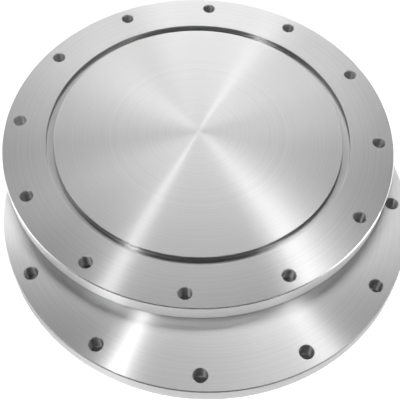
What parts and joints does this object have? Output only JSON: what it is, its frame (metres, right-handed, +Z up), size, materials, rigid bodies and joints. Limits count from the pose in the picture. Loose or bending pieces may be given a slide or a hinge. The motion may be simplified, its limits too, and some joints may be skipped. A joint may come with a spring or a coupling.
{
  "type": "blind flange",
  "caption": "Round turned steel blind flanges for a clamped vacuum joint, a stacked pair: plain back up below, grooved sealing side up on top, with a ring of bolt holes.",
  "frame": {"origin": "middle of the lower flange's underside, which is its sealing side and rests on the ground", "axes": "+Z up along the flange axes, +Y from the lower flange towards the side to which the upper one is shifted, away from the viewer; +X to the viewer's right"},
  "size_m": [0.343, 0.392, 0.032],
  "materials": {
    "turned_back": "face-turned, plain back side",
    "turned_face": "fine face-turned, sealing side"
  },
  "bodies": {
    "lower": {"lower_flange": "turned_back"},
    "upper": {"upper_flange": "turned_face"}
  },
  "joints": [
    {"name": "lift", "type": "slide", "parent": "lower", "child": "upper", "axis": [0, 0, 1], "range_m": [0, 0.15]}
  ]
}
